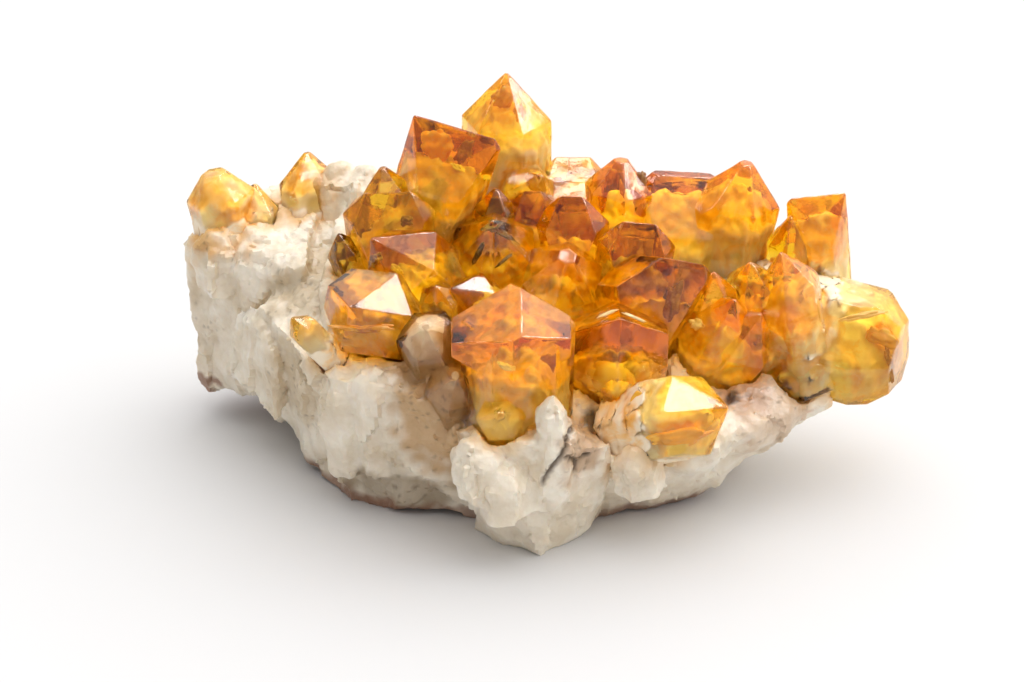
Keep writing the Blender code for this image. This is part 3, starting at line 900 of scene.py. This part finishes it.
def rind(places, wander):
    """1 on the host rock's rind under the stone, which is higher at the back, and 0 above it."""
    height, depth = places[:, 2], places[:, 1]
    top = 2.0 + 5.0 * smooth(depth, 6, 20) + 6 * wander * smooth(depth, 0, 14)
    return (1 - smooth(height + wander - top, -1.3, 0.4)) * smooth(depth, -19, -13)


def cracked(places):
    """1 on the dark cracks of the stone's front, and 0 away from them."""
    flat = places[:, [0, 2]]
    near = np.full(len(places), 9.0)
    for run in CRACKS:
        for start, end in zip(run, run[1:]):
            start = np.array(start)
            along = np.array(end) - start
            share = np.clip((flat - start) @ along / (along @ along), 0, 1)
            near = np.minimum(near, np.linalg.norm(flat - start - share[:, None] * along, axis=1))
    return (1 - smooth(near, 0.12, 0.4)) * (places[:, 1] < -14)


def white_stone(node, material):
    """The white quartz, with a broken, grainy surface."""
    solid = bmesh.new()
    solid.from_mesh(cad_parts[node].data)
    bmesh.ops.scale(solid, vec=(1 / MM, 1 / MM, 1 / MM), verts=solid.verts)
    for shape in WHITE_LUMPS.values():
        add_solid(solid, crystal_solid(shape))
    piece = add_object("white_quartz", solid)
    remesh = piece.modifiers.new("Remesh", "REMESH")
    remesh.mode = "VOXEL"
    remesh.voxel_size = STONE_GRAIN * MM
    apply_modifiers(piece)
    colours = stained(positions(piece))
    break_up(piece)
    set_colours(piece, "stone_tint", colours)
    piece.data.materials.clear()
    piece.data.materials.append(material)
    piece.data.shade_smooth()
    piece.data.set_sharp_from_angle(angle=STONY_EDGE)
    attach(piece, "root")
    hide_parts(node)


# ---- studio ----

CAMERA_DISTANCE = 0.355
CAMERA_ELEVATION = math.radians(25)
AIM = Vector((-3.9, -0.15, 17.6)) * MM

# Panes that the flat faces mirror: direction, width, height and radiance.
WINDOWS = (
    ("window_right", (0.766, 0.03, 0.643), 0.42, 0.36, 12.0),
    ("window_behind", (0.317, 0.528, 0.788), 0.24, 0.24, 13.0),
    ("window_above", (0.0, -0.12, 0.99), 0.42, 0.42, 12.0),
    ("window_left", (-0.721, 0.18, 0.669), 0.24, 0.24, 6.0),
)
WINDOW_DISTANCE = 1.0
MAIN_LIGHT = (0.36, 0.28, 0.89)  # the direction of the brightest part of the room
DARKEST_SIDE = 0.42
BRIGHTEST_SIDE = 2.6


def add_camera():
    """A long lens that looks down on the cluster from the front."""
    data = bpy.data.cameras.new("camera")
    data.lens = 100
    data.sensor_width = 36
    camera = bpy.data.objects.new("camera", data)
    back = Vector((0, -math.cos(CAMERA_ELEVATION), math.sin(CAMERA_ELEVATION)))
    camera.location = AIM + back * CAMERA_DISTANCE
    camera.rotation_euler = back.to_track_quat("Z", "Y").to_euler()
    bpy.context.scene.collection.objects.link(camera)
    bpy.context.scene.camera = camera


def add_floor():
    """A white table that reaches out of sight."""
    solid = bmesh.new()
    bmesh.ops.create_grid(solid, x_segments=1, y_segments=1, size=1500)
    floor = add_object("floor", solid)
    material, _, shader, _ = material_of("white_table")
    shader.inputs["Base Color"].default_value = (*TABLE_WHITE, 1)
    shader.inputs["Roughness"].default_value = 0.9
    shader.inputs["Specular IOR Level"].default_value = 0.2
    floor.data.materials.append(material)


def add_window(name, toward, width, height, radiance):
    """A bright pane in the direction `toward`, which only shows in reflections and through glass."""
    data = bpy.data.lights.new(name, "AREA")
    data.shape = "RECTANGLE"
    data.size = width
    data.size_y = height
    data.energy = radiance * math.pi * width * height
    data.color = WINDOW_WHITE
    light = bpy.data.objects.new(name, data)
    back = Vector(toward).normalized()
    light.location = AIM + back * WINDOW_DISTANCE
    light.rotation_euler = back.to_track_quat("Z", "Y").to_euler()
    light.visible_diffuse = False
    bpy.context.scene.collection.objects.link(light)


def add_surroundings(toward, darkest, brightest):
    """A pale room, brightest around the direction `toward`, with radiances for both ends."""
    world = bpy.data.worlds.new("studio")
    world.use_nodes = True
    tree = world.node_tree
    place = tree.nodes.new("ShaderNodeTexCoord")
    facing = tree.nodes.new("ShaderNodeVectorMath")
    facing.operation = "DOT_PRODUCT"
    facing.inputs[1].default_value = Vector(toward).normalized()
    tree.links.new(place.outputs["Generated"], facing.inputs[0])
    glow = tree.nodes.new("ShaderNodeMapRange")
    glow.interpolation_type = "SMOOTHSTEP"
    for key, value in zip(("From Min", "From Max", "To Min", "To Max"), (0.3, 1.0, darkest, brightest)):
        glow.inputs[key].default_value = value
    tree.links.new(facing.outputs["Value"], glow.inputs["Value"])
    tree.links.new(glow.outputs["Result"], tree.nodes["Background"].inputs["Strength"])
    tree.nodes["Background"].inputs["Color"].default_value = (*ROOM_WHITE, 1)
    bpy.context.scene.world = world


def set_look():
    """Plain display of the colours, and enough bounces for light to pass through stacked points."""
    scene = bpy.context.scene
    scene.view_settings.view_transform = "Standard"
    scene.cycles.max_bounces = 20
    scene.cycles.transmission_bounces = 16
    scene.cycles.glossy_bounces = 8
    scene.cycles.diffuse_bounces = 5
    scene.cycles.sample_clamp_indirect = 12
    scene.cycles.blur_glossy = 0.5


add_camera()
add_floor()
for name, toward, width, height, radiance in WINDOWS:
    add_window(name, toward, width, height, radiance)
add_surroundings(MAIN_LIGHT, DARKEST_SIDE, BRIGHTEST_SIDE)
set_look()

noise.seed_set(NOISE_SEED)
crystals("citrine_points", CITRINE_NODES, CITRINE_POINTS, crystal_material())
milky_roots("milky_roots", CITRINE_POINTS, core_material())
inclusions_and_glints("inclusions_and_glints", inclusion_and_glint_material())
milky_points("milky_points", MILKY_POINTS, milky_material())
white_stone("quartz_matrix", stone_material())
